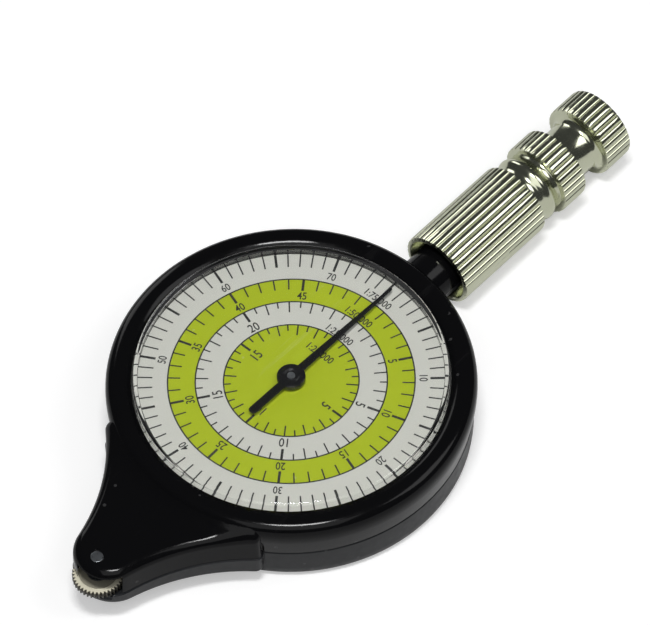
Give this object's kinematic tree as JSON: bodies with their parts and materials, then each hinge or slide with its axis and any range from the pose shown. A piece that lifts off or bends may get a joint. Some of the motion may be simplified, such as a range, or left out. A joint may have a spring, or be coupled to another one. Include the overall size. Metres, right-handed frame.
{
  "type": "map measurer",
  "caption": "Map measurer: round dial case with a tapered nose, a small toothed measuring wheel, a geared pointer under a clear lens, and a fluted handle.",
  "frame": {"origin": "on the pointer's axis, at the flat rear face of the case", "axes": "+Z out of the dial, +Y towards the handle, +X to the right when the dial is read with the handle up"},
  "size_m": [0.0452, 0.0939, 0.0113],
  "materials": {
    "black_shell": "gloss black moulding",
    "clear_lens": "clear, polished",
    "dial": "satin print in yellow-green and grey-white",
    "moulding": "matte",
    "gear_moulding": "matte",
    "wheel_moulding": "cream, half gloss",
    "steel": "bright",
    "brass_arbor": "turned",
    "black_pointer": "gloss black",
    "plated_grip": "bright plating"
  },
  "bodies": {
    "case": {"front_shell": "black_shell", "rear_shell": "black_shell", "lens": "clear_lens", "dial_plate": "dial", "movement_plate": "moulding", "plate_screws": "steel", "friction_washer": "steel", "nose_gear_pin": "steel", "gear_pins": "steel", "wheel_axle": "steel", "wheel_washers": "steel", "handle_grip": "plated_grip"},
    "wheel": {"measuring_wheel": "wheel_moulding", "wheel_pinion": "brass_arbor"},
    "gear_a": {"gear_a": "gear_moulding"},
    "gear_b": {"gear_b": "gear_moulding"},
    "gear_c": {"gear_c": "gear_moulding"},
    "pointer": {"pointer": "black_pointer", "pointer_arbor": "brass_arbor", "centre_gear": "gear_moulding"}
  },
  "joints": [
    {"name": "wheel_turn", "type": "hinge", "parent": "case", "child": "wheel", "pos_m": [0, -0.03404, 0.0054], "axis": [0, 0, 1], "continuous": true},
    {"name": "gear_a_turn", "type": "hinge", "parent": "case", "child": "gear_a", "pos_m": [0, -0.02894, 0.005], "axis": [0, 0, 1], "continuous": true},
    {"name": "gear_b_turn", "type": "hinge", "parent": "case", "child": "gear_b", "pos_m": [0.001, -0.0206, 0.006], "axis": [0, 0, 1], "continuous": true},
    {"name": "gear_c_turn", "type": "hinge", "parent": "case", "child": "gear_c", "pos_m": [0.0022, -0.0118, 0.005], "axis": [0, 0, 1], "continuous": true},
    {"name": "pointer_turn", "type": "hinge", "parent": "case", "child": "pointer", "pos_m": [0, 0, 0.006], "axis": [0, 0, 1], "continuous": true}
  ],
  "couplings": [
    {"joint": "gear_a_turn", "follows": "wheel_turn", "ratio": -0.41667},
    {"joint": "gear_b_turn", "follows": "wheel_turn", "ratio": 0.16667},
    {"joint": "gear_c_turn", "follows": "wheel_turn", "ratio": -0.08},
    {"joint": "pointer_turn", "follows": "wheel_turn", "ratio": 0.02}
  ]
}
